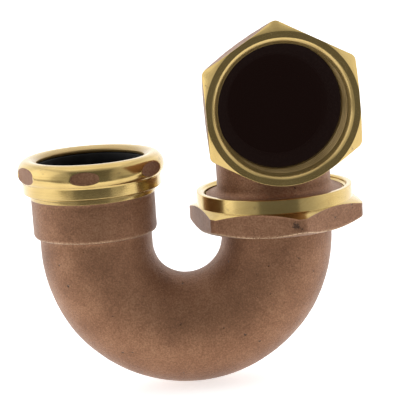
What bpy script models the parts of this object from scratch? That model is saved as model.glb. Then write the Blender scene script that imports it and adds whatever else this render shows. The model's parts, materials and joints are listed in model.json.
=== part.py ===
"""A cast bronze P-trap for 1-1/2 in waste pipe, in metres, +Z up.

A J-bend carries a slip joint on its inlet arm (slip nut and rubber washer) and a ground-joint union on its
outlet arm. The union nut pulls the outlet elbow's nose down on the J-bend's seat, so the elbow can swivel.
The origin is on the inlet's axis, in the plane of the J-bend's inlet rim. The outlet arm stands towards +X,
and the outlet faces -Y.
"""

import math

import bmesh
import bpy
from mathutils import Matrix, Vector

MM = 0.001
GAP = 0.3 * MM  # between pieces that touch
EDGE = 0.3 * MM  # small chamfer on a turned edge
PAST = 2.0 * MM  # how far a cutter runs past what it cuts
SUNK = 0.5 * MM  # how far a shape runs into the one that it joins
CROSSING = 0.6 * MM  # how far inside a bore a coned cutter starts
WELD = 0.01 * MM
SIDES = 32
BEND_STEPS = 14

# The waterway, and the tube round it
BORE_RADIUS = 17.4 * MM
WALL = 3.0 * MM
TUBE_RADIUS = BORE_RADIUS + WALL

# The inlet hub on the J-bend; all heights are above the centre of the bend
INLET_HEIGHT = 27.5 * MM
TAILPIECE_RADIUS = BORE_RADIUS + 1.65 * MM
SOCKET_CLEARANCE = 0.5 * MM
SOCKET_RADIUS = TAILPIECE_RADIUS + SOCKET_CLEARANCE
SOCKET_DEPTH = 18.7 * MM
SOCKET_FLOOR = INLET_HEIGHT - SOCKET_DEPTH
RIM_BEVEL = 1.5 * MM
HUB_RADIUS = SOCKET_RADIUS + 2.95 * MM
HUB_DRAFT = 0.1 * MM
HUB_LENGTH = 14.1 * MM
HUB_BAND = INLET_HEIGHT - 7.6 * MM  # foot of the turned band under the thread
HUB_BAND_HEIGHT = 1.2 * MM
HUB_LEDGE = HUB_BAND - HUB_LENGTH

# The slip joint's thread, nut and washer
SLIP_PITCH = 25.4 / 11.5 * MM
SLIP_DEPTH = 0.9 * MM
SLIP_CORE = SOCKET_RADIUS + 2.35 * MM
SLIP_CREST = SLIP_CORE + SLIP_DEPTH
NUT_FOOT = HUB_BAND + 2.3 * MM
NUT_COLLAR_RADIUS = SLIP_CREST + GAP + 2.0 * MM
NUT_COLLAR_HEIGHT = 3.8 * MM
NUT_LEDGE = 0.2 * MM  # step from the collar out to the bulge
NUT_BULGE_RADIUS = NUT_COLLAR_RADIUS + 1.5 * MM
NUT_BULGE_HEIGHT = 7.15 * MM  # widest place, above the nut's foot
NUT_BULGE_ROUND = 3.9 * MM
NUT_BULGE_FALL = 50.0  # degrees that the bulge's round reaches down
NUT_CROWN_HEIGHT = 4.85 * MM  # top, above the widest place
NUT_TOP = NUT_FOOT + NUT_BULGE_HEIGHT + NUT_CROWN_HEIGHT
NUT_LIP = 2.4 * MM
LIP_UNDERSIDE = NUT_TOP - NUT_LIP
NUT_HOLE_RADIUS = TAILPIECE_RADIUS + 0.4 * MM
NUT_FLAT_DEPTHS = [0.5 * MM, 0.6 * MM, 0.5 * MM, 0.6 * MM, 0.5 * MM, 0.9 * MM]  # cast, so uneven
NUT_FLAT_AZIMUTH = math.radians(-6.0)
WASHER_TOP = LIP_UNDERSIDE - GAP
WASHER_NOSE = 0.4 * MM  # how far the washer goes into the rim
WASHER_GRIP = 0.1 * MM  # round the tailpiece

# The union: nut, flange and seat on the J-bend, and hub on the elbow
UNION_PITCH = 25.4 / 14 * MM
UNION_DEPTH = 0.8 * MM
UNION_HOLE_RADIUS = SLIP_CREST + 0.1 * MM  # the nut goes on over the inlet
FLANGE_RADIUS = UNION_HOLE_RADIUS + 2.1 * MM
FLANGE_FILLET = 1.2 * MM
FLANGE_HEIGHT = 3.5 * MM
UNION_CORE = FLANGE_RADIUS + 0.3 * MM
UNION_CREST = UNION_CORE + UNION_DEPTH
UNION_FOOT = 3.7 * MM
UNION_SHOULDER = 2.7 * MM
UNION_HEX_HEIGHT = 8.7 * MM
UNION_RING_HEIGHT = 4.9 * MM
UNION_RING_RADIUS = UNION_CREST + GAP + 2.1 * MM
UNION_RIM = UNION_FOOT + UNION_HEX_HEIGHT + UNION_RING_HEIGHT
UNION_APOTHEM = UNION_RING_RADIUS + 0.3 * MM
UNION_CORNER = UNION_APOTHEM / math.cos(math.pi / 6)
UNION_BLUNT = 0.75 * MM  # cut off each corner
UNION_CORNER_AZIMUTH = math.radians(-20.0)
UNION_CHAMFER = math.radians(25.0)
FLANGE_FOOT = UNION_FOOT + UNION_SHOULDER + GAP
FLANGE_TOP = FLANGE_FOOT + FLANGE_HEIGHT
SEAT_SLOPE = math.radians(30.0)
SEAT_RADIUS = BORE_RADIUS + 5.6 * MM

# The two arms: the union nut's corner passes the hub with room for a wrench
ARM_SPACE = 10.345 * MM
CENTRES = HUB_RADIUS + ARM_SPACE + UNION_CORNER

# The outlet elbow
PIPE_PITCH = 25.4 / 11.5 * MM
PIPE_CREST_RADIUS = BORE_RADIUS + 4.9 * MM
PIPE_DEPTH = 1.1 * MM
PIPE_LENGTH = 13.5 * MM
PIPE_TAPER = 1 / 32  # radius lost for each metre of length
PIPE_MOUTH_RADIUS = PIPE_CREST_RADIUS + 2.1 * MM
PIPE_MOUTH_DEPTH = 1.3 * MM
PIPE_SHELF_FALL = 1.5 * MM  # slope of the shelf behind the thread
PIPE_RUN_OUT = 1.2  # turns without thread at its inner end
NECK_RADIUS = TUBE_RADIUS + 0.5 * MM
HUB_TOP = UNION_RIM - 1.3 * MM
HUB_CROWN = 0.5 * MM  # rise of the hub's top towards the neck
HUB_FILLET = 2.0 * MM
ELBOW_BORE_RADIUS = BORE_RADIUS + 0.2 * MM
ELBOW_BEND = NECK_RADIUS + 1.1 * MM
NOSE_WALL = 1.0 * MM
OUTLET_APOTHEM = PIPE_CREST_RADIUS + PIPE_DEPTH + 3.0 * MM
OUTLET_CORNER_AZIMUTH = math.radians(92.0)
OUTLET_CORNER_RADIUS = 2.6 * MM
OUTLET_CORNER = (OUTLET_APOTHEM - OUTLET_CORNER_RADIUS) / math.cos(math.pi / 6) + OUTLET_CORNER_RADIUS
OUTLET_HEX_LENGTH = PIPE_LENGTH - 3.5 * MM
OUTLET_TAIL = 10.5 * MM  # cast taper from the hexagon back to the tube
OUTLET_FACE_RADIUS = OUTLET_APOTHEM + 0.1 * MM
OUTLET_CHAMFER = 2.7 * MM  # its depth at the corners
OUTLET_CLEARANCE = 6.7 * MM  # from the union nut up to the hexagon, whose lowest corner is cut round
OUTLET_HEIGHT = UNION_RIM + OUTLET_CLEARANCE + OUTLET_APOTHEM
OUTLET_REACH = ELBOW_BEND + PIPE_LENGTH + 4.0 * MM

# Shape of a thread, as shares of its pitch
RIDGE_SHARE = 0.33  # half width of the ridge at its root
CREST_SHARE = 0.10
PIPE_ROOT_SHARE = 0.42


def material(name, colour, roughness, metallic):
    """A plain finish with the given colour, roughness and metallic value."""
    finish = bpy.data.materials.new(name)
    finish.use_nodes = True
    shader = finish.node_tree.nodes["Principled BSDF"]
    shader.inputs["Base Color"].default_value = (*colour, 1.0)
    shader.inputs["Roughness"].default_value = roughness
    shader.inputs["Metallic"].default_value = metallic
    return finish


def axis_empty(name, x):
    """An empty on one of the two upright axes, level with the centre of the bend."""
    empty = bpy.data.objects.new(name, None)
    empty.location = (x, 0.0, -INLET_HEIGHT)
    bpy.context.scene.collection.objects.link(empty)
    return empty


def solid(name, bm, parent):
    """An object from closed faces, with its normals outwards and smooth round faces."""
    bmesh.ops.remove_doubles(bm, verts=bm.verts, dist=1e-7)
    bmesh.ops.recalc_face_normals(bm, faces=bm.faces)
    mesh = bpy.data.meshes.new(name)
    bm.to_mesh(mesh)
    bm.free()
    mesh.shade_smooth()
    mesh.set_sharp_from_angle(angle=math.radians(30))
    obj = bpy.data.objects.new(name, mesh)
    obj.parent = parent
    bpy.context.scene.collection.objects.link(obj)
    return obj


def turned(name, outline, parent):
    """A solid turned about local Z from a closed outline of (radius, height) points."""
    bm = bmesh.new()
    corners = [bm.verts.new((radius, 0.0, height)) for radius, height in outline]
    pairs = [(corners[i - 1], corners[i]) for i in range(len(corners))]
    edges = [bm.edges.new(pair) for pair in pairs if pair[0].co.x + pair[1].co.x > 0]
    bmesh.ops.spin(
        bm,
        geom=edges,
        cent=(0, 0, 0),
        axis=(0, 0, 1),
        angle=math.tau,
        steps=SIDES,
        use_merge=True,
        use_duplicate=False,
    )
    return solid(name, bm, parent)


def loft(name, rings, parent):
    """A closed solid through rings of points, with a face across each end."""
    bm = bmesh.new()
    loops = [[bm.verts.new(point) for point in ring] for ring in rings]
    for low, high in zip(loops, loops[1:]):
        for i in range(len(low)):
            bm.faces.new((low[i - 1], low[i], high[i], high[i - 1]))
    bm.faces.new(loops[0])
    bm.faces.new(loops[-1])
    return solid(name, bm, parent)


def combine(target, operation, tools):
    """Joins, cuts or trims the target by each tool, which then stays only as a guide."""
    for tool in tools:
        step = target.modifiers.new(tool.name, "BOOLEAN")
        step.operation = operation
        step.solver = "EXACT"
        step.object = tool
        tool.hide_render = True
        tool.display_type = "WIRE"
    return target


def finished(target, finish):
    """Welds the short edges that the cuts leave, and gives the piece its finish."""
    weld = target.modifiers.new("weld", "WELD")
    weld.merge_threshold = WELD
    target.data.materials.append(finish)
    return target


def circle(centre, across, up, radius):
    """Points of a ring; a flat side, and not a corner, lies along the direction across."""
    return [
        centre + radius * (across * math.cos(a) + up * math.sin(a))
        for a in (math.tau * (i + 0.5) / SIDES for i in range(SIDES))
    ]


def arc(centre_radius, centre_height, size, first, last, steps, tall=None):
    """Points of a round stretch of a turned outline, from one angle in degrees to another.

    The round is an ellipse where tall, its half height, is given.
    """
    angles = [math.radians(first + (last - first) * i / steps) for i in range(steps + 1)]
    rise = tall or size
    return [(centre_radius + size * math.cos(a), centre_height + rise * math.sin(a)) for a in angles]


def bend_rod(name, radius, inlet_top, outlet_top, parent):
    """A round rod along the J: down the inlet arm, round the bend and up the outlet arm."""
    middle = Vector((CENTRES / 2, 0.0, 0.0))
    across = Vector((1.0, 0.0, 0.0))
    depth = Vector((0.0, 1.0, 0.0))
    rings = [circle(Vector((0.0, 0.0, inlet_top)), across, depth, radius)]
    for i in range(BEND_STEPS + 1):
        turn = math.pi * i / BEND_STEPS
        outwards = Vector((-math.cos(turn), 0.0, -math.sin(turn)))
        rings.append(circle(middle + outwards * CENTRES / 2, -outwards, depth, radius))
    rings.append(circle(Vector((CENTRES, 0.0, outlet_top)), -across, depth, radius))
    return loft(name, rings, parent)


def elbow_rod(name, radius, bottom, reach, parent):
    """A round rod up the union's axis and round to the outlet, which faces -Y."""
    across = Vector((1.0, 0.0, 0.0))
    corner = Vector((0.0, -ELBOW_BEND, OUTLET_HEIGHT - ELBOW_BEND))
    steps = BEND_STEPS // 2
    rings = [circle(Vector((0.0, 0.0, bottom)), across, Vector((0.0, 1.0, 0.0)), radius)]
    for i in range(steps + 1):
        turn = math.pi / 2 * i / steps
        outwards = Vector((0.0, math.cos(turn), math.sin(turn)))
        rings.append(circle(corner + outwards * ELBOW_BEND, across, outwards, radius))
    up = Vector((0.0, 0.0, 1.0))
    rings.append(circle(Vector((0.0, -reach, OUTLET_HEIGHT)), across, up, radius))
    return loft(name, rings, parent)


def hexagon(apothem, first_corner, corner_radius=0.0, round_corner=None):
    """Corners of a hexagon in the XY plane, rounded where a corner radius is given.

    The corner numbered round_corner is cut back to the circle that fits the flats.
    """
    points = []
    for i in range(6):
        middle = first_corner + math.tau * i / 6
        if i == round_corner:
            turns = [middle + math.pi / 6 * step / 3 for step in range(-3, 4)]
            points += [(apothem * math.cos(turn), apothem * math.sin(turn)) for turn in turns]
            continue
        reach = (apothem - corner_radius) / math.cos(math.pi / 6)
        for turn in (-math.pi / 6, 0.0, math.pi / 6) if corner_radius else (0.0,):
            x = reach * math.cos(middle) + corner_radius * math.cos(middle + turn)
            y = reach * math.sin(middle) + corner_radius * math.sin(middle + turn)
            points.append((x, y))
    return points


def uneven_hexagon(apothems, first_flat):
    """Corners of a hexagon whose flats lie at distances of their own, from the flat at angle first_flat."""
    points = []
    for i, apothem in enumerate(apothems):
        angle = first_flat + math.tau * i / 6
        following = apothems[(i + 1) % 6]
        along = (following - apothem * math.cos(math.pi / 3)) / math.sin(math.pi / 3)
        x = apothem * math.cos(angle) - along * math.sin(angle)
        y = apothem * math.sin(angle) + along * math.cos(angle)
        points.append((x, y))
    return points


def hexagon_prism(name, points, bottom, top, parent):
    """A prism between two heights."""
    return loft(name, [[(x, y, z) for x, y in points] for z in (bottom, top)], parent)


def thread(name, inner, outer, half_inner, half_outer, pitch, first, last, parent, taper=0.0):
    """A right-hand helical ridge from one height to another; equal heights lie at equal angles.

    inner and outer are radii, and half_inner and half_outer the ridge's half widths there. taper is the
    radius lost for each metre of height.
    """
    steps = round((last - first) / pitch * SIDES)
    start = round(first / pitch * SIDES)
    rings = []
    for i in range(start, start + steps + 1):
        angle = math.tau * (i + 0.5) / SIDES
        height = pitch * (i + 0.5) / SIDES
        less = taper * (height - first)
        rings.append(
            [
                ((radius - less) * math.cos(angle), (radius - less) * math.sin(angle), height + rise)
                for radius, rise in (
                    (inner, -half_inner),
                    (outer, -half_outer),
                    (outer, half_outer),
                    (inner, half_inner),
                )
            ]
        )
    return loft(name, rings, parent)


def male_thread(name, core, depth, pitch, first, last, parent):
    """The ridge that stands on a core; its foot is sunk into the core so that the two join."""
    root, crest = RIDGE_SHARE * pitch, CREST_SHARE * pitch
    flank = (root - crest) / depth
    sunk = depth / 2
    return thread(
        name, core - sunk, core + depth, root + flank * sunk, crest, pitch, first, last, parent
    )


def female_thread(name, core, depth, pitch, first, last, parent):
    """The groove that clears the ridge of male_thread by the gap all round."""
    root, crest = RIDGE_SHARE * pitch, CREST_SHARE * pitch
    flank = (root - crest) / depth
    bore = core + GAP
    reach = GAP / 2
    clear = GAP * math.hypot(1.0, flank)
    at_bore = root - flank * (bore - core) + clear
    return thread(
        name,
        bore - reach,
        bore + depth,
        at_bore + flank * reach,
        at_bore - flank * depth,
        pitch,
        first,
        last,
        parent,
    )


def make_j_bend(parent, outlet_axis, finish):
    """The J-shaped casting: bend, inlet hub with its thread, and the union's flange and seat."""
    body = bend_rod("j_bend", TUBE_RADIUS, HUB_LEDGE + PAST, FLANGE_FOOT + SUNK, parent)
    hub = turned(
        "guide_inlet_hub",
        [
            (0.0, HUB_LEDGE),
            (HUB_RADIUS - HUB_DRAFT - EDGE, HUB_LEDGE),
            (HUB_RADIUS - HUB_DRAFT, HUB_LEDGE + EDGE),
            (HUB_RADIUS + HUB_DRAFT, HUB_BAND),
            (SLIP_CREST, HUB_BAND),
            (SLIP_CREST, HUB_BAND + HUB_BAND_HEIGHT),
            (SLIP_CORE, HUB_BAND + HUB_BAND_HEIGHT + SLIP_DEPTH / 2),
            (SLIP_CORE, INLET_HEIGHT - EDGE),
            (SLIP_CORE - EDGE, INLET_HEIGHT),
            (0.0, INLET_HEIGHT),
        ],
        parent,
    )
    ridge = male_thread(
        "guide_slip_ridge",
        SLIP_CORE,
        SLIP_DEPTH,
        SLIP_PITCH,
        HUB_BAND + HUB_BAND_HEIGHT + 0.3 * SLIP_PITCH,
        INLET_HEIGHT - 0.6 * SLIP_PITCH,
        parent,
    )
    flange = turned(
        "guide_union_flange",
        [
            (0.0, FLANGE_FOOT - FLANGE_FILLET - SUNK),
            (TUBE_RADIUS - SUNK, FLANGE_FOOT - FLANGE_FILLET - SUNK),
            (TUBE_RADIUS + FLANGE_FILLET, FLANGE_FOOT),
            (FLANGE_RADIUS, FLANGE_FOOT),
            (FLANGE_RADIUS, FLANGE_TOP - EDGE),
            (FLANGE_RADIUS - EDGE, FLANGE_TOP),
            (0.0, FLANGE_TOP),
        ],
        outlet_axis,
    )
    combine(body, "UNION", [hub, ridge, flange])
    waterway = bend_rod(
        "cut_waterway", BORE_RADIUS, SOCKET_FLOOR + PAST, FLANGE_TOP + PAST, parent
    )
    socket = turned(
        "cut_socket",
        [
            (0.0, SOCKET_FLOOR),
            (SOCKET_RADIUS, SOCKET_FLOOR),
            (SOCKET_RADIUS, INLET_HEIGHT - RIM_BEVEL),
            (SOCKET_RADIUS + RIM_BEVEL + PAST, INLET_HEIGHT + PAST),
            (0.0, INLET_HEIGHT + PAST),
        ],
        parent,
    )
    seat_tip = BORE_RADIUS - CROSSING
    seat_foot = FLANGE_TOP - (SEAT_RADIUS - seat_tip) * math.tan(SEAT_SLOPE)
    seat = turned(
        "cut_seat",
        [
            (0.0, seat_foot),
            (seat_tip, seat_foot),
            (SEAT_RADIUS, FLANGE_TOP),
            (SEAT_RADIUS, FLANGE_TOP + PAST),
            (0.0, FLANGE_TOP + PAST),
        ],
        outlet_axis,
    )
    combine(body, "DIFFERENCE", [waterway, socket, seat])
    return finished(body, finish)


def make_slip_nut(parent, finish):
    """The round nut with six small cast flats, threaded inside."""
    bulge_height = NUT_FOOT + NUT_BULGE_HEIGHT
    bulge_centre = NUT_BULGE_RADIUS - NUT_BULGE_ROUND
    hole_angle = math.degrees(math.acos((NUT_HOLE_RADIUS - bulge_centre) / NUT_CROWN_HEIGHT))
    bore = SLIP_CORE + GAP
    chamber = SLIP_CREST + GAP
    thread_top = INLET_HEIGHT + GAP
    body = turned(
        "slip_nut",
        [
            (bore + 2 * EDGE, NUT_FOOT),
            (NUT_COLLAR_RADIUS - EDGE, NUT_FOOT),
            (NUT_COLLAR_RADIUS, NUT_FOOT + EDGE),
            (NUT_COLLAR_RADIUS, NUT_FOOT + NUT_COLLAR_HEIGHT),
            (NUT_COLLAR_RADIUS + NUT_LEDGE, NUT_FOOT + NUT_COLLAR_HEIGHT + NUT_LEDGE / 2),
            *arc(bulge_centre, bulge_height, NUT_BULGE_ROUND, -NUT_BULGE_FALL, 0.0, 4),
            *arc(bulge_centre, bulge_height, NUT_BULGE_ROUND, 0.0, 90.0, 6, NUT_CROWN_HEIGHT)[1:],
            *arc(bulge_centre, bulge_height, NUT_CROWN_HEIGHT, 90.0, hole_angle, 3)[1:],
            (NUT_HOLE_RADIUS, LIP_UNDERSIDE),
            (chamber, LIP_UNDERSIDE),
            (chamber, thread_top),
            (bore, thread_top - (chamber - bore)),
            (bore, NUT_FOOT + 2 * EDGE),
        ],
        parent,
    )
    flats = hexagon_prism(
        "guide_slip_flats",
        uneven_hexagon(
            [NUT_BULGE_RADIUS - depth for depth in NUT_FLAT_DEPTHS], NUT_FLAT_AZIMUTH - math.pi / 2
        ),
        NUT_FOOT - PAST,
        NUT_TOP + PAST,
        parent,
    )
    groove = female_thread(
        "cut_slip_groove",
        SLIP_CORE,
        SLIP_DEPTH,
        SLIP_PITCH,
        NUT_FOOT - SLIP_PITCH,
        thread_top + 0.2 * SLIP_PITCH,
        parent,
    )
    combine(body, "INTERSECT", [flats])
    combine(body, "DIFFERENCE", [groove])
    return finished(body, finish)


def make_slip_washer(parent, finish):
    """The bevelled rubber washer between the inlet rim and the nut's lip."""
    outer = SLIP_CREST - GAP
    inner = TAILPIECE_RADIUS + WASHER_GRIP
    nose = INLET_HEIGHT - WASHER_NOSE
    bevel_radius = SOCKET_RADIUS + RIM_BEVEL - GAP * math.sqrt(2)
    shoulder = INLET_HEIGHT + GAP
    washer = turned(
        "slip_washer",
        [
            (inner, nose),
            (bevel_radius - WASHER_NOSE, nose),
            (bevel_radius + GAP, shoulder),
            (outer, shoulder),
            (outer, WASHER_TOP - EDGE),
            (outer - EDGE, WASHER_TOP),
            (inner, WASHER_TOP),
        ],
        parent,
    )
    return finished(washer, finish)


def make_union_nut(parent, finish):
    """The hexagon nut with a turned ring, hung under the J-bend's flange."""
    widest = UNION_CORNER - UNION_BLUNT
    slope = math.tan(UNION_CHAMFER)
    ring_foot = UNION_RIM - UNION_RING_HEIGHT
    bore = UNION_CORE + GAP
    mouth = UNION_CREST + GAP + EDGE
    floor = UNION_FOOT + UNION_SHOULDER
    body = turned(
        "union_nut",
        [
            (UNION_HOLE_RADIUS, UNION_FOOT),
            (UNION_RING_RADIUS, UNION_FOOT),
            (widest, UNION_FOOT + (widest - UNION_RING_RADIUS) * slope),
            (widest, ring_foot - (widest - UNION_RING_RADIUS) * slope),
            (UNION_RING_RADIUS, ring_foot),
            (UNION_RING_RADIUS, UNION_RIM - EDGE),
            (UNION_RING_RADIUS - EDGE, UNION_RIM),
            (mouth, UNION_RIM),
            (bore, UNION_RIM - (mouth - bore) / 2),
            (bore, floor),
            (UNION_HOLE_RADIUS, floor),
        ],
        parent,
    )
    flats = hexagon_prism(
        "guide_union_flats",
        hexagon(UNION_APOTHEM, UNION_CORNER_AZIMUTH),
        UNION_FOOT - PAST,
        UNION_RIM + PAST,
        parent,
    )
    groove = female_thread(
        "cut_union_groove",
        UNION_CORE,
        UNION_DEPTH,
        UNION_PITCH,
        floor + UNION_PITCH,
        UNION_RIM + UNION_PITCH,
        parent,
    )
    combine(body, "INTERSECT", [flats])
    combine(body, "DIFFERENCE", [groove])
    return finished(body, finish)


def make_outlet_elbow(parent, finish):
    """The elbow casting: threaded hub with its nose, neck, and a hexagon outlet with a pipe thread."""
    foot = FLANGE_TOP + GAP
    fall = math.tan(SEAT_SLOPE)
    lean = GAP / math.cos(SEAT_SLOPE)
    seat_edge = SEAT_RADIUS - (GAP + lean) / fall
    nose_radius = ELBOW_BORE_RADIUS + NOSE_WALL
    nose_height = foot - (seat_edge + GAP / fall - nose_radius) * fall + GAP
    fillet_radius = NECK_RADIUS + HUB_FILLET
    fillet_height = HUB_TOP + HUB_CROWN + HUB_FILLET
    body = elbow_rod("outlet_elbow", NECK_RADIUS, foot + SUNK, ELBOW_BEND + PAST, parent)
    hub = turned(
        "guide_union_hub",
        [
            (0.0, nose_height),
            (nose_radius, nose_height),
            (seat_edge, foot),
            (UNION_CORE - EDGE, foot),
            (UNION_CORE, foot + EDGE),
            (UNION_CORE, HUB_TOP - EDGE),
            (UNION_CORE - EDGE, HUB_TOP),
            *arc(fillet_radius, fillet_height, HUB_FILLET, 270, 210, 2),
            (NECK_RADIUS - SUNK, fillet_height),
            (0.0, fillet_height),
        ],
        parent,
    )
    ridge = male_thread(
        "guide_union_ridge",
        UNION_CORE,
        UNION_DEPTH,
        UNION_PITCH,
        foot + 0.7 * UNION_PITCH,
        HUB_TOP - 0.6 * UNION_PITCH,
        parent,
    )
    front = OUTLET_CHAMFER / (OUTLET_CORNER - OUTLET_FACE_RADIUS)
    back = OUTLET_TAIL / (OUTLET_APOTHEM - NECK_RADIUS)
    widest = (OUTLET_HEX_LENGTH + OUTLET_FACE_RADIUS * front + OUTLET_APOTHEM * back) / (front + back)
    outlet = bpy.data.objects.new("outlet_axis", None)
    outlet.parent = parent
    outlet.matrix_local = Matrix.Translation((0.0, -OUTLET_REACH, OUTLET_HEIGHT)) @ Matrix.Rotation(
        math.pi / 2, 4, "X"
    )
    bpy.context.scene.collection.objects.link(outlet)
    block = hexagon_prism(
        "guide_outlet_flats",
        hexagon(OUTLET_APOTHEM, OUTLET_CORNER_AZIMUTH, OUTLET_CORNER_RADIUS, round_corner=3),
        -OUTLET_HEX_LENGTH - OUTLET_TAIL - PAST,
        0.0,
        outlet,
    )
    blank = turned(
        "guide_outlet_blank",
        [
            (0.0, -OUTLET_HEX_LENGTH - OUTLET_TAIL - SUNK * back),
            (NECK_RADIUS - SUNK, -OUTLET_HEX_LENGTH - OUTLET_TAIL - SUNK * back),
            (widest, (OUTLET_FACE_RADIUS - widest) * front),
            (OUTLET_FACE_RADIUS, 0.0),
            (0.0, 0.0),
        ],
        outlet,
    )
    combine(block, "INTERSECT", [blank])
    combine(body, "UNION", [hub, ridge, block])
    waterway = elbow_rod(
        "cut_elbow_waterway",
        ELBOW_BORE_RADIUS,
        nose_height - PAST,
        OUTLET_REACH - PIPE_LENGTH + PAST,
        parent,
    )
    shelf = PIPE_CREST_RADIUS - PIPE_TAPER * PIPE_LENGTH
    counterbore = turned(
        "cut_pipe_bore",
        [
            (0.0, -PIPE_LENGTH - PIPE_SHELF_FALL),
            (ELBOW_BORE_RADIUS - CROSSING, -PIPE_LENGTH - PIPE_SHELF_FALL),
            (shelf, -PIPE_LENGTH),
            (PIPE_CREST_RADIUS, -PIPE_MOUTH_DEPTH),
            (PIPE_MOUTH_RADIUS, 0.0),
            (PIPE_MOUTH_RADIUS, PAST),
            (0.0, PAST),
        ],
        outlet,
    )
    groove_start = -PIPE_LENGTH + PIPE_RUN_OUT * PIPE_PITCH
    start_crest = PIPE_CREST_RADIUS + PIPE_TAPER * groove_start
    half_root, half_crest = PIPE_ROOT_SHARE * PIPE_PITCH, CREST_SHARE * PIPE_PITCH
    flank = (half_root - half_crest) / PIPE_DEPTH
    sunk = GAP / 2
    groove = thread(
        "cut_pipe_groove",
        start_crest - sunk,
        start_crest + PIPE_DEPTH,
        half_root + flank * sunk,
        half_crest,
        PIPE_PITCH,
        groove_start,
        PIPE_PITCH / 2,
        outlet,
        taper=-PIPE_TAPER,
    )
    combine(body, "DIFFERENCE", [waterway, counterbore, groove])
    return finished(body, finish)


def main():
    for old in list(bpy.data.objects):
        bpy.data.objects.remove(old)
    bronze = material("cast_bronze", (0.32, 0.16, 0.09), 0.55, 0.7)
    brass = material("turned_brass", (0.62, 0.42, 0.16), 0.22, 1.0)
    rubber = material("black_rubber", (0.015, 0.015, 0.015), 0.7, 0.0)
    inlet_axis = axis_empty("inlet_axis", 0.0)
    union_axis = axis_empty("union_axis", CENTRES)
    make_j_bend(inlet_axis, union_axis, bronze)
    make_slip_washer(inlet_axis, rubber)
    make_slip_nut(inlet_axis, brass)
    make_union_nut(union_axis, bronze)
    make_outlet_elbow(union_axis, bronze)


main()
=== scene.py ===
# %% [markdown]
# # A cast bronze P-trap
#
# A P-trap holds a plug of water under a sink. This one is two rough sand castings, a J-bend and an elbow,
# with a round slip nut over a rubber washer on the inlet, and a hexagon union nut that draws the castings
# together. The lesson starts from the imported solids, which fix every size, and gives each piece a fine
# skin and a real finish.

# %% The frame
import json
import math

import bmesh
import bpy
from mathutils import Matrix, Vector, noise


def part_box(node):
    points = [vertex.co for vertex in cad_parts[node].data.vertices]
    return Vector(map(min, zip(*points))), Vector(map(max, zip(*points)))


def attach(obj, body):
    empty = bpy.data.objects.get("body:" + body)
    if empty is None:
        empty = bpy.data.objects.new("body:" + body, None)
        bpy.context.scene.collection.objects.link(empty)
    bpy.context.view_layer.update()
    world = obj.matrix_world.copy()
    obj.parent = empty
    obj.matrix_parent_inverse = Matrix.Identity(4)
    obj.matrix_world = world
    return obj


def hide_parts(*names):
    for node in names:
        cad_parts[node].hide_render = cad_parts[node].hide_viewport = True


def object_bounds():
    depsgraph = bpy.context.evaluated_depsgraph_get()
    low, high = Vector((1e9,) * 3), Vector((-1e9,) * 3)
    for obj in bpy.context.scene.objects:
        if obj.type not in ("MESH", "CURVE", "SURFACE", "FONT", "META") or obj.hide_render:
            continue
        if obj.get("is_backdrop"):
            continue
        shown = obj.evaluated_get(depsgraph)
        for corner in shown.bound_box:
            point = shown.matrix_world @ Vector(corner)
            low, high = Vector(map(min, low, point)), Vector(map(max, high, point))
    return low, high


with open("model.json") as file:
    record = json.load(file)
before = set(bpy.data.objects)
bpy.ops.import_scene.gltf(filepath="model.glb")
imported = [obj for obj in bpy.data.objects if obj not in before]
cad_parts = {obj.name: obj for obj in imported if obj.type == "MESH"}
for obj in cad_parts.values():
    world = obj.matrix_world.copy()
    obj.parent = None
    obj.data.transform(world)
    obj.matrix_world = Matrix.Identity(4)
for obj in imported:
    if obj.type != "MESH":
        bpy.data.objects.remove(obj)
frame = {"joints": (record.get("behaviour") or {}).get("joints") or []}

CAD_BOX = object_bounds()
JOINTS = {joint["name"]: joint for joint in frame["joints"]}
print("box in mm:", [[round(1000 * v, 1) for v in corner] for corner in CAD_BOX])

# %% [markdown]
# ## Sizes
#
# The sizes are those of the solids. The outlet's upright axis comes from its joint, the inlet's stands at
# the origin, and the heights come from the boxes of the nodes; only what a box can't say, such as a bore or
# a chamfer, is written here.

# %% Sizes
MM = 0.001
GAP = 0.3 * MM
UNION_X = JOINTS["elbow_swivel"]["pos_m"][0]
BEND_RADIUS = UNION_X / 2
BEND_LENGTH = math.pi * BEND_RADIUS

J_LOW, J_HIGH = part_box("j_bend")
NUT_LOW, NUT_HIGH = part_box("slip_nut")
WASHER_LOW, WASHER_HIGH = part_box("slip_washer")
UNION_LOW, UNION_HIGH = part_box("union_nut")
OUTLET_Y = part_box("outlet_elbow")[0][1]

TUBE = 20.4 * MM
BORE = 17.4 * MM
LEVEL = J_LOW[2] + TUBE + BEND_RADIUS  # height of the centre of the bend
print("centre of the bend at", round(1000 * LEVEL, 2), "mm; arms", round(1000 * UNION_X, 1), "mm apart")

# %% [markdown]
# ## Skins by station and angle
#
# Every piece here is a ring of one kind or another: an outline that closes on itself, carried round an
# axis, which for the castings bends on the way. So one tool makes them all. An outline is a list of points
# (distance along the axis, radius, finish, softness, wear and painted light), which may differ from one
# angle to the next. The last value brightens rubbed cast edges, partly as a painted highlight, and darkens
# turned brass, partly as painted shade.
# That turns threads, hexagons and chamfers into plain formulas, and every edge lies exactly on a mesh
# edge, with no Boolean cuts. A soft point becomes a small round, which is what catches the light.

# %% Outline points
FINISHES = ["cast", "turned", "bore", "rubber"]


# The last value marks bare rubbed edges on cast faces, partly a painted edge highlight, and darker brass on
# turned faces, partly painted shade.
def at(station, radius, finish="cast", soft=0.0, wear=0.0):
    """A point of an outline; finish is that of the stretch that follows it."""
    return (station, radius, finish, soft, wear)


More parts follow.
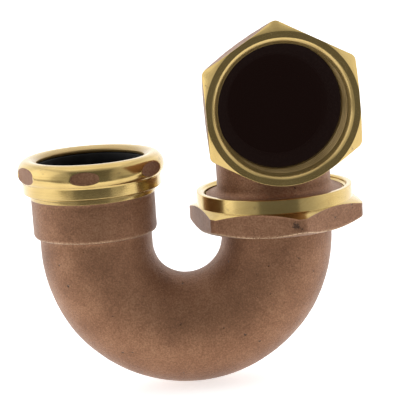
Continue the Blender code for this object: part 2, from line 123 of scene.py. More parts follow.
def soften(outline):
    """Replaces each soft point by a small round of three points."""
    points = []
    for i, (station, radius, finish, soft, wear) in enumerate(outline):
        if not soft:
            points.append((station, radius, finish, wear))
            continue
        here = Vector((station, radius))
        before = Vector(outline[i - 1][:2]) - here
        after = Vector(outline[(i + 1) % len(outline)][:2]) - here
        start = here + before.normalized() * min(soft, 0.45 * before.length)
        end = here + after.normalized() * min(soft, 0.45 * after.length)
        middle = (start + end) / 4 + here / 2
        was = outline[i - 1][2]
        points += [(*start, was, 0.3 * wear), (*middle, finish, wear), (*end, finish, 0.3 * wear)]
    return points


def arc(station, radius, size, first, last, steps, tall=None):
    """Points of a turned round, between two angles in degrees; an ellipse if tall is its half height."""
    turns = [math.radians(first + (last - first) * i / steps) for i in range(steps + 1)]
    rise = tall or size
    return [at(station + rise * math.sin(a), radius + size * math.cos(a), "turned") for a in turns]


def spread(start, end, steps):
    """Even values from start to end, with both ends."""
    return [start + (end - start) * i / steps for i in range(steps + 1)]


print("finishes:", FINISHES)

# %% Axes that the outlines follow


def upright(x):
    """An upright axis at x; its station is the height above the centre of the bend."""

    def place(station, radius, angle):
        return Vector((x + radius * math.cos(angle), radius * math.sin(angle), LEVEL + station))

    return place


def along_bend(station, radius, angle):
    """Down the inlet arm (stations below 0), round the bend, and up the other arm."""
    turn = min(max(station / BEND_RADIUS, 0.0), math.pi)
    outwards = Vector((-math.cos(turn), 0.0, -math.sin(turn)))
    centre = Vector((BEND_RADIUS, 0.0, LEVEL)) + outwards * BEND_RADIUS
    centre.z += max(-station, 0.0) + max(station - BEND_LENGTH, 0.0)
    return centre + radius * (math.sin(angle) * Vector((0, 1, 0)) - math.cos(angle) * outwards)


ELBOW_RADIUS = 22.0 * MM
OUTLET_LEVEL = 50.4 * MM  # height of the outlet's axis above the centre of the bend
ELBOW_START = OUTLET_LEVEL - ELBOW_RADIUS
ELBOW_END = ELBOW_START + ELBOW_RADIUS * math.pi / 2
FACE = ELBOW_END - OUTLET_Y - ELBOW_RADIUS


def along_elbow(station, radius, angle):
    """Up the union's axis, round the elbow's bend, and out towards -Y."""
    turn = min(max((station - ELBOW_START) / ELBOW_RADIUS, 0.0), math.pi / 2)
    outwards = Vector((0.0, math.cos(turn), math.sin(turn)))
    corner = Vector((UNION_X, -ELBOW_RADIUS, LEVEL + ELBOW_START))
    centre = corner + outwards * ELBOW_RADIUS
    centre.z += min(station - ELBOW_START, 0.0)
    centre.y -= max(station - ELBOW_END, 0.0)
    return centre + radius * (math.cos(angle) * Vector((1, 0, 0)) + math.sin(angle) * outwards)


print("the outlet's face is", round(1000 * FACE, 1), "mm along the elbow's axis")

# %% [markdown]
# ## Sand-cast skin
#
# A sand casting is never quite true: the mould shifts, the pattern is hand-rubbed, and a faint flash line
# stays where its halves met. A little noise in the mesh itself gives the outline that unevenness. The fine
# grain of the sand is too small for vertices, so it waits for the material.

# %% Castings wander a little
SWELLS = [(16 * MM, 0.16 * MM), (4 * MM, 0.07 * MM), (1.3 * MM, 0.035 * MM)]  # (size, height)
FLASH_WIDTH, FLASH_HEIGHT = 0.7 * MM, 0.12 * MM
SHRINKAGE = 0.14 * MM
NO_SEAM = 1.0  # so far away that no flash is left


def cast_offset(point, seam):
    """How far a cast surface lies inside its drawing: slow swells, small lumps and the flash line.

    seam is the distance from the plane where the mould's halves met.
    """
    rough = sum(height * noise.noise(point / size) for size, height in SWELLS)
    flash = FLASH_HEIGHT * math.exp(-((seam / FLASH_WIDTH) ** 2))
    return min(rough + flash - SHRINKAGE, 0.0)


def skin(name, outline_at, place, columns, body, node, seam_axis=None):
    """A closed mesh from outlines at even angles; it stands for a solid and rides with its body."""
    bm = bmesh.new()
    wear_and_painted_light_layer = bm.verts.layers.float.new("wear")
    turn_layer = bm.verts.layers.float.new("turn")
    rings, finishes = [], []
    for angle in columns:
        rows = soften(outline_at(angle))
        finishes.append([finish for *_, finish, wear in rows])
        ring, travelled, last = [], 0.0, None
        for i, (station, radius, finish, wear) in enumerate(rows):
            point = place(station, radius, angle)
            if finish == "cast" and rows[i - 1][2] == "cast":
                away = (point - place(station, 0.0, angle)).normalized()
                seam = point[seam_axis] if seam_axis is not None else NO_SEAM
                point = point + away * cast_offset(point, seam)
            travelled += math.dist(last, (station, radius)) if last else 0.0
            last = (station, radius)
            vertex = bm.verts.new(point)
            vertex[wear_and_painted_light_layer] = wear
            vertex[turn_layer] = travelled
            ring.append(vertex)
        rings.append(ring)
    used = [finish for finish in FINISHES if any(finish in column for column in finishes)]
    for k, high in enumerate(rings):
        low = rings[k - 1]
        for i, finish in enumerate(finishes[k]):
            j = (i + 1) % len(high)
            face = bm.faces.new((low[i], high[i], high[j], low[j]))
            face.material_index = used.index(finish if finish == finishes[k - 1][i] else "turned")
            face.smooth = True
    bmesh.ops.recalc_face_normals(bm, faces=bm.faces)
    mesh = bpy.data.meshes.new(name)
    bm.to_mesh(mesh)
    bm.free()
    piece = bpy.data.objects.new(name, mesh)
    bpy.context.scene.collection.objects.link(piece)
    for finish in used:
        mesh.materials.append(MATERIALS[finish])
    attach(piece, body)
    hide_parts(node)
    print(f"{name}: {len(mesh.polygons)} faces, finishes {used}")
    return piece


def angles(count):
    """Even angles round an axis."""
    return [math.tau * i / count for i in range(count)]


# %% [markdown]
# ## Writing shader maths as sums
#
# A material here is an expression. A wire wraps one output socket, and Python's own operators add the Math
# nodes, so `1 - mask` reads as it would on paper. Every other node comes from one method, `add`. The same
# tree of nodes serves the world, and a finish is a tree that ends in a Principled shader.

# %% Wires


class Wire:
    """An output socket that arithmetic can be written on."""

    def __init__(self, tree, socket):
        self.tree, self.socket = tree, socket

    def math(self, operation, *values):
        return self.tree.add("ShaderNodeMath", {"operation": operation}, dict(enumerate(values)))

    def __add__(self, other):
        return self.math("ADD", self, other)

    def __sub__(self, other):
        return self.math("SUBTRACT", self, other)

    def __rsub__(self, other):
        return self.math("SUBTRACT", other, self)

    def __mul__(self, other):
        return self.math("MULTIPLY", self, other)

    __radd__, __rmul__ = __add__, __mul__

    def step(self, low, high):
        """0 below low, 1 above high, and a smooth rise between them."""
        inputs = {"Value": self, "From Min": low, "From Max": high}
        return self.tree.add("ShaderNodeMapRange", {"interpolation_type": "SMOOTHSTEP"}, inputs)


class Tree:
    """The node tree of a material or of the world."""

    def __init__(self, owner):
        owner.use_nodes = True
        self.nodes, self.links = owner.node_tree.nodes, owner.node_tree.links

    def add(self, kind, settings=None, inputs=None, output=0):
        """A node of a kind, with its settings made first, then the values or links of its sockets."""
        node = self.nodes.new(kind)
        for key, value in (settings or {}).items():
            if key == "stops":
                ramp = node.color_ramp.elements
                while len(ramp) < len(value):
                    ramp.new(0.5)
                for stop, (position, colour) in zip(ramp, value):
                    stop.position, stop.color = position, (*colour, 1.0)
            else:
                setattr(node, key, value)
        for key, value in (inputs or {}).items():
            self.set(node.inputs[key], value)
        return Wire(self, node.outputs[output])

    def set(self, socket, value):
        """Links a wire to a socket, or writes a constant on it."""
        if isinstance(value, Wire):
            self.links.new(value.socket, socket)
        elif socket.type == "RGBA":
            socket.default_value = (*value, 1.0)
        else:
            socket.default_value = value


class Finish(Tree):
    """A Principled material under construction."""

    def __init__(self, name, **constants):
        self.material = bpy.data.materials.new(name)
        super().__init__(self.material)
        self.shader = self.nodes["Principled BSDF"]
        for socket, value in constants.items():
            self.set(self.shader.inputs[socket.replace("_", " ")], value)

    def blend(self, first, second, factor):
        """Mixes two colours."""
        return self.add("ShaderNodeMix", {"data_type": "RGBA"}, {0: factor, 6: first, 7: second}, output=2)

    def place(self):
        """The point of the surface in the piece's own space, in metres."""
        return self.add("ShaderNodeTexCoord", output="Object")

    def grain(self, where, size, detail=2.0, roughness=0.5):
        """Noise whose lumps are about size across, from 0 to 1."""
        inputs = {"Vector": where, "Scale": 1 / size, "Detail": detail, "Roughness": roughness}
        return self.add("ShaderNodeTexNoise", None, inputs)

    def distance(self, where, place):
        """Distance from a place, in metres."""
        return self.add("ShaderNodeVectorMath", {"operation": "DISTANCE"}, {0: where, 1: place}, "Value")

    def value(self, name):
        """A number that the mesh carries on its points."""
        return self.add("ShaderNodeAttribute", {"attribute_name": name}, output="Fac")

    def surface(self, colour, roughness, height, relief):
        """Links colour, roughness and a height of 0 to 1, which stands for relief metres, to the shader."""
        bump = self.add("ShaderNodeBump", None, {"Height": height, "Distance": relief})
        for name, value in (("Base Color", colour), ("Roughness", roughness), ("Normal", bump)):
            self.set(self.shader.inputs[name], value)
        return self.material


print("wires are ready")

# %% [markdown]
# ## Cast bronze
#
# Bronze poured in sand comes out a matt pinkish brown, never one colour: slow clouds of oxide, a salt and
# pepper grain from the sand, dark pits where a grain was lost, and bare metal where an edge was rubbed,
# which also stands as a painted highlight along the edges.
# It is part metal, part oxide, so metallic is set low, and the white of the studio shows as a soft grey
# sheen where the surface turns away.

# %% Cast bronze
PALE, MIDDLE, DARK = (0.41, 0.222, 0.125), (0.275, 0.133, 0.068), (0.165, 0.075, 0.038)
PIT, BARE_METAL_AND_PAINTED_HIGHLIGHT = (0.03, 0.018, 0.013), (0.75, 0.56, 0.36)
SCARS = [  # dents left by handling, as (x, y, z, size) in mm
    (69.2, -31.8, -19.2, 1.5),
    (-11.6, -16.0, -37.5, 0.6),
    (50.1, -20.1, -60.1, 0.6),
]


def cast_bronze():
    finish = Finish("cast_bronze", Metallic=0.6, Sheen_Weight=0.22, Sheen_Roughness=0.35)
    where = finish.place()
    cloud = finish.grain(where, 14 * MM, 4.0, 0.6)
    sand = finish.grain(where, 0.6 * MM, 3.0, 0.7)
    dust = finish.grain(where, 0.35 * MM, 1.0)
    pits = finish.grain(where, 1.9 * MM, 2.0, 0.4).step(0.73, 0.78)
    for x, y, z, size in SCARS:
        away = finish.distance(where, (x * MM, y * MM, z * MM)) + (sand - 0.5) * (2 * size * MM)
        pits = pits.math("MAXIMUM", pits, 1 - away.step(0.5 * size * MM, size * MM))
    tone = (0.35 * cloud + 0.65 * sand).step(0.25, 0.75)
    stops = [(0.0, DARK), (0.5, MIDDLE), (1.0, PALE)]
    colour = finish.add("ShaderNodeValToRGB", {"stops": stops}, {"Fac": tone})
    colour = finish.blend(colour, PALE, dust.step(0.64, 0.8) * 0.5)
    colour = finish.blend(colour, PIT, pits * 0.75)
    # Bright bare metal on the marked edges: partly rubbed metal, partly a painted edge highlight.
    wear = finish.value("wear") * sand.step(0.35, 0.6)
    colour = finish.blend(colour, BARE_METAL_AND_PAINTED_HIGHLIGHT, wear)
    height = 0.6 * sand + 0.25 * dust + 0.5 * finish.grain(where, 2.6 * MM, 2.0) - 0.8 * pits
    roughness = 0.58 - 0.10 * tone - 0.18 * wear
    return finish.surface(colour, roughness, height, 0.25 * MM)


# %% [markdown]
# ## Turned brass
#
# Where the lathe has been, the same metal shows bright and yellow. The tool leaves fine rings, which are
# drawn from the distance that each outline has travelled, so they run round the work whatever its shape.
# Anisotropy stretches the highlights across the rings, as on the real thing.

# %% Turned brass
GOLD, DEEP_GOLD, TARNISH_AND_PAINTED_SHADE = (0.62, 0.45, 0.17), (0.51, 0.355, 0.12), (0.27, 0.165, 0.06)


def turned_brass():
    finish = Finish("turned_brass", Metallic=0.95, Anisotropic=0.3, Coat_Weight=0.3, Coat_Roughness=0.15)
    where = finish.place()
    travelled = finish.value("turn")
    across = finish.add("ShaderNodeCombineXYZ", None, {"X": travelled})
    rings = finish.grain(across, 0.16 * MM, 3.0, 0.7)
    bands = finish.grain(across, 1.3 * MM, 2.0)
    cloud = finish.grain(where, 9 * MM, 3.0)
    stain_and_painted_shade = finish.grain(where, 5 * MM, 4.0, 0.6).step(0.62, 0.78)
    colour = finish.blend(GOLD, DEEP_GOLD, (0.5 * cloud + 0.5 * bands).step(0.35, 0.7))
    # The random tarnish, plus darker brass where the points are marked; in the nut's hole and the outlet's
    # thread that darkening is painted shade.
    stain_and_painted_shade = stain_and_painted_shade.math("MAXIMUM", stain_and_painted_shade * 0.5, finish.value("wear") * 0.55)
    colour = finish.blend(colour, TARNISH_AND_PAINTED_SHADE, stain_and_painted_shade)
    roughness = 0.09 + 0.10 * rings + 0.06 * cloud + 0.25 * stain_and_painted_shade
    finish.set(finish.shader.inputs["Metallic"], 0.95 - 0.8 * stain_and_painted_shade)
    return finish.surface(colour, roughness, rings, 0.008 * MM)


# %% [markdown]
# ## The waterway and the rubber
#
# Inside, the casting keeps its dark foundry skin, painted near black as the shade deep in the pipe. Light
# that wanders far down a pipe is mostly lost in a short render, so a trace of brown glow stands for it.
# The washer is plain black moulded rubber with a faint bloom, which is a pale haze in the colour and a
# rougher surface.

# %% Foundry skin in painted shade, and rubber
SKIN_IN_PAINTED_SHADE, DUSTY_SKIN_IN_PAINTED_SHADE, SKIN_GLOW = (0.005, 0.003, 0.0025), (0.01, 0.006, 0.005), (0.0075, 0.0036, 0.003)
RUBBER, BLOOM = (0.008, 0.008, 0.009), (0.022, 0.021, 0.021)


def foundry_skin_in_painted_shade():
    glow = {"Emission_Color": SKIN_GLOW, "Emission_Strength": 1.0}
    finish = Finish("foundry_skin_in_painted_shade", Metallic=0.0, Specular_IOR_Level=0.1, **glow)
    where = finish.place()
    sand = finish.grain(where, 0.9 * MM, 3.0, 0.6)
    colour = finish.blend(SKIN_IN_PAINTED_SHADE, DUSTY_SKIN_IN_PAINTED_SHADE, sand.step(0.4, 0.7))
    return finish.surface(colour, 0.75 - 0.1 * sand, sand, 0.2 * MM)


def black_rubber():
    finish = Finish("black_rubber", Metallic=0.0, Specular_IOR_Level=0.25)
    where = finish.place()
    bloom = finish.grain(where, 4 * MM, 4.0).step(0.45, 0.75)
    grain = finish.grain(where, 0.3 * MM, 2.0)
    colour = finish.blend(RUBBER, BLOOM, bloom * 0.7)
    return finish.surface(colour, 0.55 + 0.2 * bloom, grain, 0.03 * MM)


MATERIALS = {
    "cast": cast_bronze(),
    "turned": turned_brass(),
    "bore": foundry_skin_in_painted_shade(),
    "rubber": black_rubber(),
}
print("materials:", [m.name for m in MATERIALS.values()])

# %% [markdown]
# ## Threads
#
# A thread is a ridge that climbs one pitch for each turn. At one angle it is a row of teeth along the axis,
# and at the next angle the same row a little higher, so its height above the core is a formula of station
# and angle. Where both threads of a pair are drawn, they use the
# same formula, so that the nut's groove clears the ridge.

# %% Threads
SLIP_PITCH = 25.4 / 11.5 * MM
UNION_PITCH = 25.4 / 14 * MM
STEPS_PER_PITCH = 16
GROOVE = {"root": 0.43, "crest": 0.20}  # wider than the ridge that runs in it


def tooth(station, angle, pitch, root=0.33, crest=0.10):
    """The ridge's height here, from 0 to 1; root and crest are its half widths in pitches."""
    phase = (station / pitch - angle / math.tau + 0.5) % 1.0 - 0.5
    return min(max((root - abs(phase)) / (root - crest), 0.0), 1.0)


def threaded(first, last, radius, depth, pitch, angle, run_out=0.6, **teeth):
    """Outline points along a thread from one station to another; it fades out at its last end.

    A pitch below 0 gives no points yet, because the number of steps comes out below 0 too.
    """
    steps = round(abs(last - first) / pitch * STEPS_PER_PITCH)
    points = []
    for station in spread(first, last, steps):
        fade = min(abs(last - station) / (run_out * pitch), 1.0)
        ridge = tooth(station, angle, pitch, **teeth)
        points.append(at(station, radius + depth * ridge * fade, "turned"))
    return points


print("pitches in mm:", round(1000 * SLIP_PITCH, 3), round(1000 * UNION_PITCH, 3))

# %% [markdown]
# ## The J-bend
#
# One casting: the turned inlet rim and band, the cast hub with its ledge, the bend, and the turned flange
# with the cone that the elbow's nose seats on. It could be a curve with a bevel and Boolean cuts, but one
# outline that goes down the outside and comes back up the inside keeps every edge clean. This outline runs
# downwards, so its slip thread asks for a reversed pitch, and gets no ridges: the band under the nut is
# still a plain cone, which crosses the nut's thread.

# %% The J-bend
SLIP_CORE, SLIP_DEPTH = 21.9 * MM, 0.9 * MM
RIM = J_HIGH[2] - LEVEL
HUB, LEDGE, BAND = 22.5 * MM, 5.8 * MM, 19.9 * MM
SOCKET, SOCKET_FLOOR, RIM_BEVEL = 19.55 * MM, 8.8 * MM, 1.5 * MM
FLANGE, SEAT, SEAT_SLOPE = 25.0 * MM, 23.0 * MM, math.tan(math.radians(30))
FLANGE_FOOT = UNION_LOW[2] - LEVEL + 3.0 * MM
FLANGE_TOP = FLANGE_FOOT + 3.5 * MM


def up_arm(height):
    """The station of a height on the outlet arm."""
    return BEND_LENGTH + height


def j_bend_outline(angle):
    seat_foot = FLANGE_TOP - (SEAT - BORE) * SEAT_SLOPE
    bend = spread(0.0, BEND_LENGTH, 72)
    return [
        at(-RIM, SLIP_CORE - 0.4 * MM, "turned"),
        *threaded(-RIM + 0.4 * MM, -BAND - 1.3 * MM, SLIP_CORE, SLIP_DEPTH, -SLIP_PITCH, angle),
        # Darker brass on the band's two corners, just under the slip nut.
        at(-BAND - 1.2 * MM, HUB + 0.3 * MM, "turned", 0.1 * MM, 1.0),
        at(-BAND, HUB + 0.3 * MM, "turned", 0.1 * MM, 1.0),
        at(-BAND + 0.1 * MM, HUB + 0.1 * MM, "cast"),
        *[at(-h, HUB) for h in spread(BAND - 0.5 * MM, LEDGE + 1.0 * MM, 12)],
        # A bright line along the ledge's edge: bare rubbed metal, partly a painted edge highlight.
        at(-LEDGE, HUB - 0.1 * MM, "cast", 0.7 * MM, 0.8),
        at(-LEDGE + 0.3 * MM, TUBE + 0.3 * MM, "cast", 0.5 * MM),
        *[at(-h, TUBE) for h in spread(LEDGE - 1.5 * MM, 1.0 * MM, 4)],
        *[at(s, TUBE) for s in bend],
        *[at(up_arm(h), TUBE) for h in spread(1.0 * MM, FLANGE_FOOT - 2.0 * MM, 4)],
        at(up_arm(FLANGE_FOOT - 0.8 * MM), TUBE + 0.5 * MM),
        at(up_arm(FLANGE_FOOT), TUBE + 1.2 * MM, "turned"),
        at(up_arm(FLANGE_FOOT), FLANGE, "turned", 0.3 * MM),
        at(up_arm(FLANGE_TOP), FLANGE, "turned", 0.4 * MM),
        at(up_arm(FLANGE_TOP), SEAT, "turned", 0.15 * MM),
        at(up_arm(seat_foot), BORE, "bore", 0.2 * MM),
        *[at(up_arm(h), BORE, "bore") for h in spread(seat_foot - 1.0 * MM, 1.0 * MM, 4)],
        *[at(s, BORE, "bore") for s in reversed(bend)],
        # The socket's floor and wall take the near-black bore finish, which is painted shade down in the
        # socket.
        at(-SOCKET_FLOOR, BORE, "bore", 0.3 * MM),
        at(-SOCKET_FLOOR, SOCKET, "bore", 0.2 * MM),
        at(-RIM + RIM_BEVEL, SOCKET, "turned", 0.1 * MM),
        at(-RIM, SOCKET + RIM_BEVEL, "turned", 0.1 * MM),
    ]


skin("bend_casting", j_bend_outline, along_bend, angles(160), "bend", "j_bend", 1)

# %% [markdown]
# ## The slip nut
#
# The nut starts as a hexagon casting and is turned round until only the middles of its six flats are left
# below the tool. They stay as small brown ovals on the bright bulge, each as deep as its side was cast. At
# each angle the flat cuts a straight chord off the round of the bulge, which shrinks to nothing between two
# flats. Above the bulge the crown is half an ellipse, and it rolls over into the hole like a ring.

# %% The slip nut
NUT_FOOT = NUT_LOW[2] - LEVEL
NUT_TOP = NUT_HIGH[2] - LEVEL
COLLAR, COLLAR_HEIGHT = 25.1 * MM, 3.8 * MM
BULGE, BULGE_ROUND, BULGE_LEVEL = 26.6 * MM, 3.9 * MM, NUT_FOOT + 7.15 * MM
BULGE_FALL = 50  # degrees that the round reaches below the widest place
CROWN = NUT_TOP - BULGE_LEVEL
HOLE, LIP = 19.45 * MM, 2.4 * MM
FLAT_TURN = math.radians(-96.0)
FLAT_DEPTHS = [0.5 * MM, 0.6 * MM, 0.5 * MM, 0.6 * MM, 0.5 * MM, 0.9 * MM]


def slip_nut_outline(angle):
    middle = BULGE - BULGE_ROUND
    flat = round((angle - FLAT_TURN) / (math.pi / 3))
    off_flat = angle - FLAT_TURN - flat * math.pi / 3
    chord = min((BULGE - FLAT_DEPTHS[flat % 6]) / math.cos(off_flat), BULGE - 0.002 * MM)
    face = "cast" if chord < BULGE - 0.01 * MM else "turned"
    open_angle = math.acos((chord - middle) / BULGE_ROUND)
    drop, rise = BULGE_ROUND * math.sin(open_angle), CROWN * math.sin(open_angle)
    edge = math.degrees(math.acos((HOLE - middle) / CROWN))
    inside = arc(BULGE_LEVEL, middle, CROWN, 90, edge, 12)[1:]
    bore, chamber = SLIP_CORE + GAP, SLIP_CORE + SLIP_DEPTH + GAP
    return [
        at(NUT_FOOT, bore + 0.7 * MM, "turned", 0.1 * MM),
        # Darker brass along the nut's lower outer edge.
        at(NUT_FOOT, COLLAR, "turned", 0.3 * MM, 0.5),
        at(NUT_FOOT + COLLAR_HEIGHT, COLLAR, "turned", 0.1 * MM),
        at(NUT_FOOT + COLLAR_HEIGHT + 0.1 * MM, COLLAR + 0.2 * MM, "turned"),
        *arc(BULGE_LEVEL, middle, BULGE_ROUND, -BULGE_FALL, -math.degrees(open_angle), 10)[:-1],
        *[at(BULGE_LEVEL + t, chord, face) for t in spread(-drop, rise, 6)],
        *arc(BULGE_LEVEL, middle, BULGE_ROUND, math.degrees(open_angle), 90, 12, CROWN)[1:],
        # The inner round darkens step by step down into the hole: painted shade.
        *[at(height, radius, "turned", 0.0, i / 11) for i, (height, radius, *_) in enumerate(inside)],
        at(NUT_TOP - LIP, HOLE, "turned", 0.0, 1.0),
        at(NUT_TOP - LIP, chamber, "turned", 0.2 * MM),
        at(RIM + GAP, chamber, "turned"),
        *threaded(RIM - 0.4 * MM, NUT_FOOT + 0.6 * MM, bore, SLIP_DEPTH, SLIP_PITCH, angle, 0.05, **GROOVE),
    ]


skin("round_nut", slip_nut_outline, upright(0.0), angles(360), "nut", "slip_nut")

# %% [markdown]
# ## The slip washer
#
# The washer's bevelled nose goes into the bevel of the rim. Squeezed by the nut, it grips the tailpiece.

# %% The slip washer
WASHER_TOP = WASHER_HIGH[2] - LEVEL
WASHER_FOOT = WASHER_LOW[2] - LEVEL
WASHER_IN, WASHER_OUT = 19.15 * MM, 22.5 * MM


def washer_outline(angle):
    nose = SOCKET + RIM_BEVEL - (RIM - WASHER_FOOT) - 1.4 * GAP
    return [
        at(WASHER_FOOT, WASHER_IN, "rubber", 0.2 * MM),
        at(WASHER_FOOT, nose, "rubber", 0.2 * MM),
        at(RIM + GAP, SOCKET + RIM_BEVEL - 0.4 * GAP, "rubber", 0.1 * MM),
        at(RIM + GAP, WASHER_OUT, "rubber", 0.3 * MM),
        at(WASHER_TOP, WASHER_OUT, "rubber", 0.4 * MM),
        at(WASHER_TOP, WASHER_IN, "rubber", 0.3 * MM),
    ]


skin("rubber_washer", washer_outline, upright(0.0), angles(120), "washer", "slip_washer")

# %% [markdown]
# ## The union nut
#
# A hexagon nut, cast, then turned on top: a bright ring, and a bright cone that meets the brown flats in
# six shallow arches. At one angle the hexagon is only a radius, and the cone's height follows from it.

# %% Hexagons


def hexagon(angle, apothem, corner, rounding):
    """The radius of a hexagon with rounded corners, one of which is at the angle corner."""
    off = (angle - corner + math.pi / 6) % (math.pi / 3) - math.pi / 6
    reach = (apothem - rounding) / math.cos(math.pi / 6)
    tangent = math.atan2(rounding / 2, reach + rounding * math.cos(math.pi / 6))
    if abs(off) < tangent:
        return reach * math.cos(off) + math.sqrt(rounding**2 - (reach * math.sin(off)) ** 2)
    return apothem / math.cos(math.pi / 6 - abs(off))


def hexagon_angles(count, corner, rounding, apothem):
    """Even angles, and a few more at each corner so that it stays crisp."""
    extra = math.atan2(rounding / 2, apothem / math.cos(math.pi / 6))
    found = set(angles(count))
    for i in range(6):
        middle = corner + math.tau * i / 6
        found |= {(middle + extra * step / 3) % math.tau for step in range(-3, 4)}
    kept = []
    for angle in sorted(found):
        if not kept or angle - kept[-1] > math.radians(0.1):
            kept.append(angle)
    return kept


# %% The union nut
UNION_FOOT = UNION_LOW[2] - LEVEL
UNION_RIM = UNION_HIGH[2] - LEVEL
UNION_CORE, UNION_DEPTH = 25.3 * MM, 0.8 * MM
UNION_APOTHEM, UNION_BLUNT, UNION_CORNER = 28.8 * MM, 32.5 * MM, math.radians(-20)
RING, RING_HEIGHT = 28.5 * MM, 4.9 * MM
UNION_HOLE, SHOULDER = 22.9 * MM, 2.7 * MM
CONE = math.tan(math.radians(25))


def union_nut_outline(angle):
    hexed = min(hexagon(angle, UNION_APOTHEM, UNION_CORNER, 0.8 * MM), UNION_BLUNT)
    ring_foot = UNION_RIM - RING_HEIGHT
    low = UNION_FOOT + (hexed - RING) * CONE
    high = ring_foot - (hexed - RING) * CONE
    bore = UNION_CORE + GAP
    mouth = bore + UNION_DEPTH + 0.3 * MM
    thread = (UNION_RIM - (mouth - bore) / 2, UNION_FOOT + SHOULDER + 1.2 * MM)
    return [
        at(UNION_FOOT, UNION_HOLE, "cast", 0.4 * MM),
        at(UNION_FOOT, UNION_APOTHEM - 1.5 * MM, "cast"),
        # A bright line along the hexagon's lower edges: bare rubbed metal, partly a painted edge highlight.
        at(UNION_FOOT, RING, "cast", 0.3 * MM, 0.5),
        at(low, hexed, "cast", 0.25 * MM, 1.0),
        *[at(h, hexed, "cast") for h in spread(low, high, 8)][1:-1],
        at(high, hexed, "turned", 0.08 * MM),
        at(ring_foot, RING, "turned", 0.12 * MM),
        at(UNION_RIM, RING, "turned", 0.25 * MM),
        at(UNION_RIM, mouth, "turned", 0.1 * MM),
        *threaded(*thread, bore, UNION_DEPTH, UNION_PITCH, angle, **GROOVE),
        at(UNION_FOOT + SHOULDER, bore, "turned", 0.2 * MM),
        at(UNION_FOOT + SHOULDER, UNION_HOLE, "turned", 0.3 * MM),
    ]


UNION_ANGLES = hexagon_angles(240, UNION_CORNER, 0.8 * MM, UNION_APOTHEM)
skin("hexagon_nut", union_nut_outline, upright(UNION_X), UNION_ANGLES, "union", "union_nut")

# %% [markdown]
# ## The outlet elbow
#
# The second casting. Its threaded hub screws into the union nut and ends in a cone that seats in the
# J-bend. From there the neck turns through a right angle into a hexagon, whose face is turned bright, with
# a chamfer into the pipe thread. The thread narrows by 1 in 16, as every pipe thread does.

# %% The outlet elbow
NECK, ELBOW_BORE = 20.9 * MM, 17.6 * MM
OUTLET_APOTHEM, OUTLET_CORNER, OUTLET_ROUND = 26.4 * MM, math.radians(92), 2.6 * MM
OUTLET_LENGTH, OUTLET_TAIL = 10.0 * MM, 10.5 * MM
FACE_RING, FACE_CHAMFER = 26.5 * MM, 0.75
MOUTH, MOUTH_DEPTH = 24.4 * MM, 1.3 * MM
PIPE_CREST, PIPE_DEPTH, PIPE_LENGTH, PIPE_TAPER = 22.3 * MM, 1.1 * MM, 13.5 * MM, 1 / 32


def pipe_thread(angle):
    """The female thread, from the mouth inwards; its grooves are cut outwards from the crests."""
    first, last = FACE - MOUTH_DEPTH, FACE - PIPE_LENGTH + 1.5 * MM
    steps = round((first - last) / SLIP_PITCH * 14)
    points = []
    for station in spread(first, last, steps):
        fade = min((station - last) / SLIP_PITCH, (first - station) / SLIP_PITCH, 1.0)
        crest = PIPE_CREST - PIPE_TAPER * (FACE - station)
        groove = PIPE_DEPTH * tooth(station, angle, SLIP_PITCH, 0.42, 0.10)
        # Every point of the thread is marked for darker, less metallic brass: painted shade inside the
        # outlet.
        points.append(at(station, crest + groove * fade, "turned", 0.0, 1.0))
    return points


def elbow_outline(angle):
    foot = FLANGE_TOP + GAP
    top = UNION_RIM - 1.3 * MM
    nose = ELBOW_BORE + 1.0 * MM
    seat_edge = SEAT - 2.15 * GAP / SEAT_SLOPE
    nose_level = foot - (seat_edge - nose) * SEAT_SLOPE
    above = abs((angle - OUTLET_CORNER + math.pi) % math.tau - math.pi)
    hexed = hexagon(angle, OUTLET_APOTHEM, OUTLET_CORNER, OUTLET_ROUND)
    if above > math.radians(150):
        hexed = OUTLET_APOTHEM
    chamfer = max((hexed - FACE_RING) * FACE_CHAMFER, 0.12 * MM)
    tail = FACE - OUTLET_LENGTH - OUTLET_TAIL
    back = min(tail + (hexed - NECK) / (OUTLET_APOTHEM - NECK) * OUTLET_TAIL, FACE - chamfer - 0.6 * MM)
    shelf = PIPE_CREST - PIPE_TAPER * PIPE_LENGTH
    return [
        at(nose_level, nose, "turned", 0.2 * MM),
        at(foot, seat_edge, "turned", 0.1 * MM),
        at(foot, UNION_CORE - 0.5 * MM, "turned"),
        *threaded(foot + 0.5 * MM, top - 0.3 * MM, UNION_CORE, UNION_DEPTH, UNION_PITCH, angle),
        at(top, UNION_CORE - 0.3 * MM, "cast"),
        at(top + 0.15 * MM, NECK + 3.3 * MM, "cast"),
        at(top + 0.5 * MM, NECK + 2.0 * MM, "cast"),
        at(top + 0.8 * MM, NECK + 1.0 * MM, "cast"),
        at(top + 1.5 * MM, NECK + 0.3 * MM, "cast"),
        *[at(s, NECK) for s in spread(top + 2.5 * MM, ELBOW_START, 8)],
        *[at(s, NECK) for s in spread(ELBOW_START, tail - 1.5 * MM, 28)][1:],
        *[at(tail + t * (back - tail), NECK + t * (hexed - NECK)) for t in spread(0.05, 0.9, 8)],
        # A faint bright line at the hexagon's back edge: bare metal, partly a painted edge highlight.
        at(back, hexed, "cast", 1.2 * MM, 0.3),
        *[at(s, hexed) for s in spread(back, FACE - chamfer, 6)][1:-1],
        at(FACE - chamfer, hexed, "turned", 0.15 * MM),
        at(FACE, min(FACE_RING, hexed - 0.12 * MM), "turned", 0.06 * MM),
        at(FACE, MOUTH, "turned", 0.08 * MM),
        *pipe_thread(angle),
        at(FACE - PIPE_LENGTH, shelf, "bore", 0.2 * MM),
        at(FACE - PIPE_LENGTH - 1.5 * MM, ELBOW_BORE, "bore"),
        *[at(s, ELBOW_BORE, "bore") for s in spread(ELBOW_END, ELBOW_START, 24)],
        at(nose_level + 6.0 * MM, ELBOW_BORE, "bore"),
        at(nose_level, ELBOW_BORE, "turned", 0.2 * MM),
    ]


